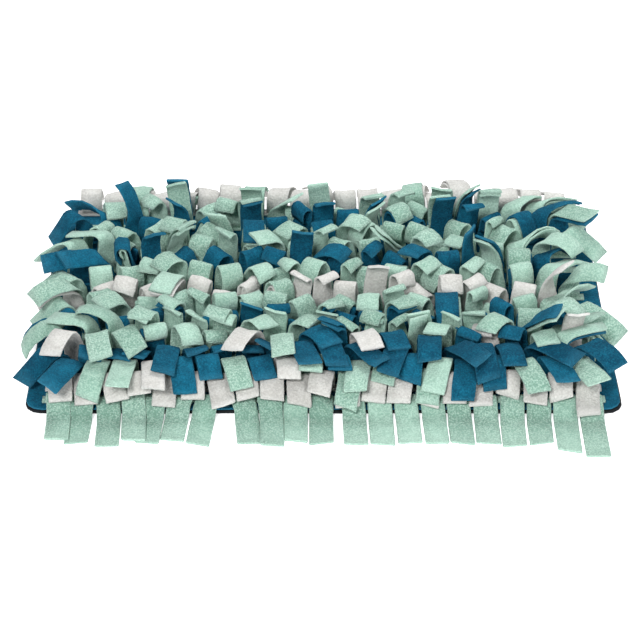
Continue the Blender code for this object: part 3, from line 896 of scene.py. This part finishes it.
class Finish:
    """A material made of nodes. Its surface is the Principled shader."""

    def __init__(self, name, **constants):
        self.material = bpy.data.materials.new(name)
        self.material.use_nodes = True
        self.tree = self.material.node_tree
        self.surface = self.tree.nodes["Principled BSDF"]
        for socket, value in constants.items():
            self.surface.inputs[socket.replace("_", " ")].default_value = value

    def node(self, kind, settings=None, sockets=None, output=0):
        made = self.tree.nodes.new("ShaderNode" + kind)
        for name, value in (settings or {}).items():
            setattr(made, name, value)
        for name, value in (sockets or {}).items():
            self.feed(made.inputs[name], value)
        return Value(self, made.outputs[output])

    def feed(self, socket, value):
        if isinstance(value, Value):
            self.tree.links.new(value.socket, socket)
        else:
            socket.default_value = value

    def mix(self, share, a, b):
        """A colour between a and b."""
        colours = [c if isinstance(c, Value) else (*c, 1) for c in (a, b)]
        sockets = {0: share, 6: colours[0], 7: colours[1]}
        return self.node("Mix", {"data_type": "RGBA"}, sockets, output=2)

    def attribute(self, name):
        return self.node("Attribute", {"attribute_name": name}, output=2)

    def place(self):
        return self.node("TexCoord", output=3)

    def noise(self, place, grain, detail=2, roughness=0.5):
        return self.node(
            "TexNoise", None,
            {"Vector": place, "Scale": 1 / grain, "Detail": detail, "Roughness": roughness},
        )

    def pebbles(self, place, grain):
        """Distance from the middle of small soft lumps."""
        return self.node(
            "TexVoronoi", {"feature": "SMOOTH_F1"},
            {"Vector": place, "Scale": 1 / grain, "Smoothness": 0.5, "Randomness": 1.0},
        )

    def show(self, colour, roughness, height, relief):
        self.feed(self.surface.inputs["Base Color"], colour)
        self.feed(self.surface.inputs["Roughness"], roughness)
        bump = self.node("Bump", None, {"Height": height, "Distance": relief, "Strength": 1.0})
        self.feed(self.surface.inputs["Normal"], bump)
        return self.material


def pebbly_fleece():
    """Mint fleece: small curly lumps on one face and a flatter nap on the other."""
    f = Finish(
        "pebbly_mint_fleece", Sheen_Weight=0.15, Sheen_Roughness=0.6, Specular_IOR_Level=0.15
    )
    place, tone, edge = f.place(), f.attribute("tone"), f.attribute("edge")
    lumps = 1 - f.pebbles(place, 0.0023).between(0.15, 0.75)
    curls = f.noise(place, 0.0013, 3, 0.6).between(0.32, 0.68)
    pile = 0.68 + 0.32 * f.attribute("pile")
    height = (lumps * 0.6 + curls * 0.4) * pile
    patches = f.noise(place, 0.011, 2).between(0.3, 0.7)
    # painted shade: the colour follows the lumps' height, darker in the hollows between them,
    # besides the fleece's own patches and random lightness
    lightness = height * 0.88 + patches * 0.15 + tone * 0.14 + (1 - pile) * 0.55 - 0.08
    colour = f.mix(lightness, MINT_DEEP, MINT_LIGHT)
    # painted sheen: the cut edges mixed toward the paler edge colour
    colour = f.mix(edge * 0.35, colour, MINT_EDGE_SHEEN)
    return f.show(colour, 0.92 - curls * 0.06, height, 0.0011)


def napped_fleece():
    """Petrol-blue fleece: a dense short nap, brushed a little paler in places."""
    f = Finish(
        "napped_blue_fleece", Sheen_Weight=0.03, Sheen_Roughness=0.45,
        Sheen_Tint=(0.30, 0.62, 0.80, 1), Specular_IOR_Level=0.08,
    )
    place, tone, edge = f.place(), f.attribute("tone"), f.attribute("edge")
    tufts = 1 - f.pebbles(place, 0.0026).between(0.1, 0.75)
    nap = tufts * 0.5 + f.noise(place, 0.0015, 3, 0.65).between(0.34, 0.66) * 0.5
    brushed = f.noise(place, 0.014, 2).between(0.35, 0.75)
    lint = f.noise(place, 0.0007, 2).between(0.62, 0.8)
    # painted shade: darker in the hollows between the nap's tufts, besides the brushed patches and
    # random lightness
    colour = f.mix(nap * 0.62 + brushed * 0.25 + tone * 0.12 - 0.04, BLUE_DEEP, BLUE_LIGHT)
    # the blue's real pale lint, and painted sheen on the cut edges
    colour = f.mix(lint * 0.18 + edge * 0.3, colour, BLUE_LINT_AND_EDGE_SHEEN)
    return f.show(colour, 0.9 - nap * 0.08, nap * 0.8 + brushed * 0.2, 0.0013)


def soft_fleece():
    """Off-white fleece: a soft, faintly lumpy face."""
    f = Finish("soft_white_fleece", Sheen_Weight=0.2, Sheen_Roughness=0.6, Specular_IOR_Level=0.15)
    place, tone, edge = f.place(), f.attribute("tone"), f.attribute("edge")
    lumps = 1 - f.pebbles(place, 0.0032).between(0.1, 0.8)
    nap = f.noise(place, 0.0018, 3, 0.6).between(0.3, 0.7)
    height = lumps * 0.5 + nap * 0.5
    patches = f.noise(place, 0.02, 2).between(0.3, 0.7)
    # painted shade: darker in the hollows between the lumps, besides the patches and random
    # lightness
    colour = f.mix(height * 0.6 + patches * 0.25 + tone * 0.08, WHITE_DEEP, WHITE_LIGHT)
    # painted sheen: the cut edges mixed toward the paler edge colour
    colour = f.mix(edge * 0.4, colour, WHITE_EDGE_SHEEN)
    return f.show(colour, 0.93 - nap * 0.05, height, 0.0008)


def backing_cloth():
    """Matt black non-slip cloth with a fine even weave."""
    f = Finish("black_backing_cloth", Specular_IOR_Level=0.2)
    place, edge = f.place(), f.attribute("edge")
    weave = {"Vector": place, "Scale": 190.0, "Distortion": 1.2}
    weft = f.node("TexWave", {"bands_direction": "X"}, weave)
    warp = f.node("TexWave", {"bands_direction": "Y"}, weave)
    worn = f.noise(place, 0.012, 3).between(0.4, 0.8)
    colour = f.mix(weft * warp * 0.5 + worn * 0.2 + edge * 0.25, BLACK_DEEP, BLACK_LIGHT)
    return f.show(colour, 0.88 - worn * 0.1, weft * warp, 0.0004)


# ---- Studio


FLOOR_SIZE = 8
FLOOR_GLOW = 0.58
AIR_COLOUR = (0.92, 0.97, 1.06)
AIR_GLOW = 0.17
LAMPS = [  # name, place, power, size
    ("key_light", (-1.5, -4.1, 4.3), 300, 1.6),
    ("fill_light", (2.6, -3.9, 1.9), 125, 2.6),
    ("back_light", (0.2, 1.1, 1.7), 38, 1.2),
]
CAMERA_LENS, CAMERA_SENSOR = 119.1, 36  # in mm
CAMERA_AWAY = 2.7
CAMERA_TILT = math.radians(33)
CAMERA_AIM = Vector((-0.004, -0.032, 0))


def floor_finish():
    """The floor's finish, which glows a little so that the floor stays pale."""
    return Finish(
        "pale_floor", Base_Color=(0.90, 0.90, 0.90, 1), Roughness=0.9, Specular_IOR_Level=0.2,
        Emission_Color=(1, 1, 1, 1), Emission_Strength=FLOOR_GLOW,
    ).material


def add_studio():
    bpy.ops.mesh.primitive_plane_add(size=FLOOR_SIZE)
    floor = bpy.context.object
    floor.name = "floor"
    floor.data.materials.append(floor_finish())
    world = bpy.data.worlds.new("studio")
    bpy.context.scene.world = world
    world.use_nodes = True
    air = world.node_tree.nodes["Background"].inputs
    air["Color"].default_value = (*AIR_COLOUR, 1)
    air["Strength"].default_value = AIR_GLOW
    for name, place, power, size in LAMPS:
        lamp = bpy.data.lights.new(name, "AREA")
        lamp.energy, lamp.size = power, size
        lit = bpy.data.objects.new(name, lamp)
        lit.location = place
        lit.visible_camera = False
        lit.rotation_euler = (-Vector(place)).to_track_quat("-Z", "Y").to_euler()
        bpy.context.scene.collection.objects.link(lit)
    bpy.context.scene.view_settings.view_transform = "Standard"


def add_camera():
    lens = bpy.data.cameras.new("camera")
    lens.lens, lens.sensor_width = CAMERA_LENS, CAMERA_SENSOR
    camera = bpy.data.objects.new("camera", lens)
    out, up = CAMERA_AWAY * math.cos(CAMERA_TILT), CAMERA_AWAY * math.sin(CAMERA_TILT)
    camera.location = Vector((CAMERA_AIM.x, -out, up))
    camera.rotation_euler = (CAMERA_AIM - camera.location).to_track_quat("-Z", "Y").to_euler()
    bpy.context.scene.collection.objects.link(camera)
    bpy.context.scene.camera = camera


# ---- The mat


def mixed_colours(rng, r):
    """The colour of each strip in a row between bands."""
    chosen = rng.choices(list(MIX), MIX.values(), k=columns(r))
    if r == FRONT_MIX_ROW:
        chosen = [next(n for n in MIX if n[0] == initial.lower()) for initial in FRONT_MIX]
    return chosen


def make_fringe(strips, pairs):
    """The rows of fringe, and all the strips between them as one piece of each colour."""
    rng = random.Random(SEED + 3)
    fringe = []
    mixed = {"mint": Cloth(), "blue": Cloth(), "white": Cloth()}
    for r, row in enumerate(ROWS):
        own = {c: frames for (k, c), frames in sorted(strips.items()) if k == r}
        roots = [seam(r, c)[0] for c in range(columns(r))]
        if row.band:
            # the front bands' strips are painted darker, as painted shade where the lamps fall more
            # strongly
            made = add_row(
                f"fringe_row_{row.band:02d}", row.colour, rng, seam(r, 0)[1], own.values(), roots,
                laid_flat=r == 0, painted_lightness=PAINTED_LIGHTNESS.get(row.band, 0.0),
            )
            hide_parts(f"fringe_{row.band:02d}")
            fringe.append(made)
        else:
            add_band(mixed[row.colour], rng, seam(r, 0)[1], min(roots), max(roots))
            chosen = mixed_colours(rng, r)
            for c, frames in own.items():
                add_strips(mixed[chosen[c]], rng, [frames])
    for colour, courses in pairs.items():
        add_strips(mixed[colour], rng, courses)
    for colour, cloth in mixed.items():
        fringe.append(cloth.finish(f"{colour}_strips_between", FINISHES[colour], SLOTS[colour]))
    return fringe


def make_base(fringe):
    """The backing, and the cloth on it that carries the fringe."""
    backing = add_sheet("backing_sheet", "black", 0, 0, BACKING, wander=0.0012, seed=5)
    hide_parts("backing")
    top = add_sheet(
        "top_cloth", "blue", CLOTH_INSET, BACKING + SEWN_GAP, CLOTH, wander=0.0016, seed=6
    )
    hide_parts("base_cloth")


def main():
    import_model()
    bpy.ops.object.select_all(action="DESELECT")
    FINISHES.update(
        mint=pebbly_fleece(), blue=napped_fleece(), white=soft_fleece(), black=backing_cloth()
    )
    add_studio()
    add_camera()

    placed = lay_all()
    laid = sewn_rooms() + [as_laid(above_seam(frames)) for _, frames in placed.values()]
    strips = {
        (r, c): fine_frames(seam(r, c), pose) if pose else smoothed(frames)
        for (r, c), (pose, frames) in placed.items()
    }
    make_base(make_fringe(strips, lay_pairs(strips, laid)))


main()
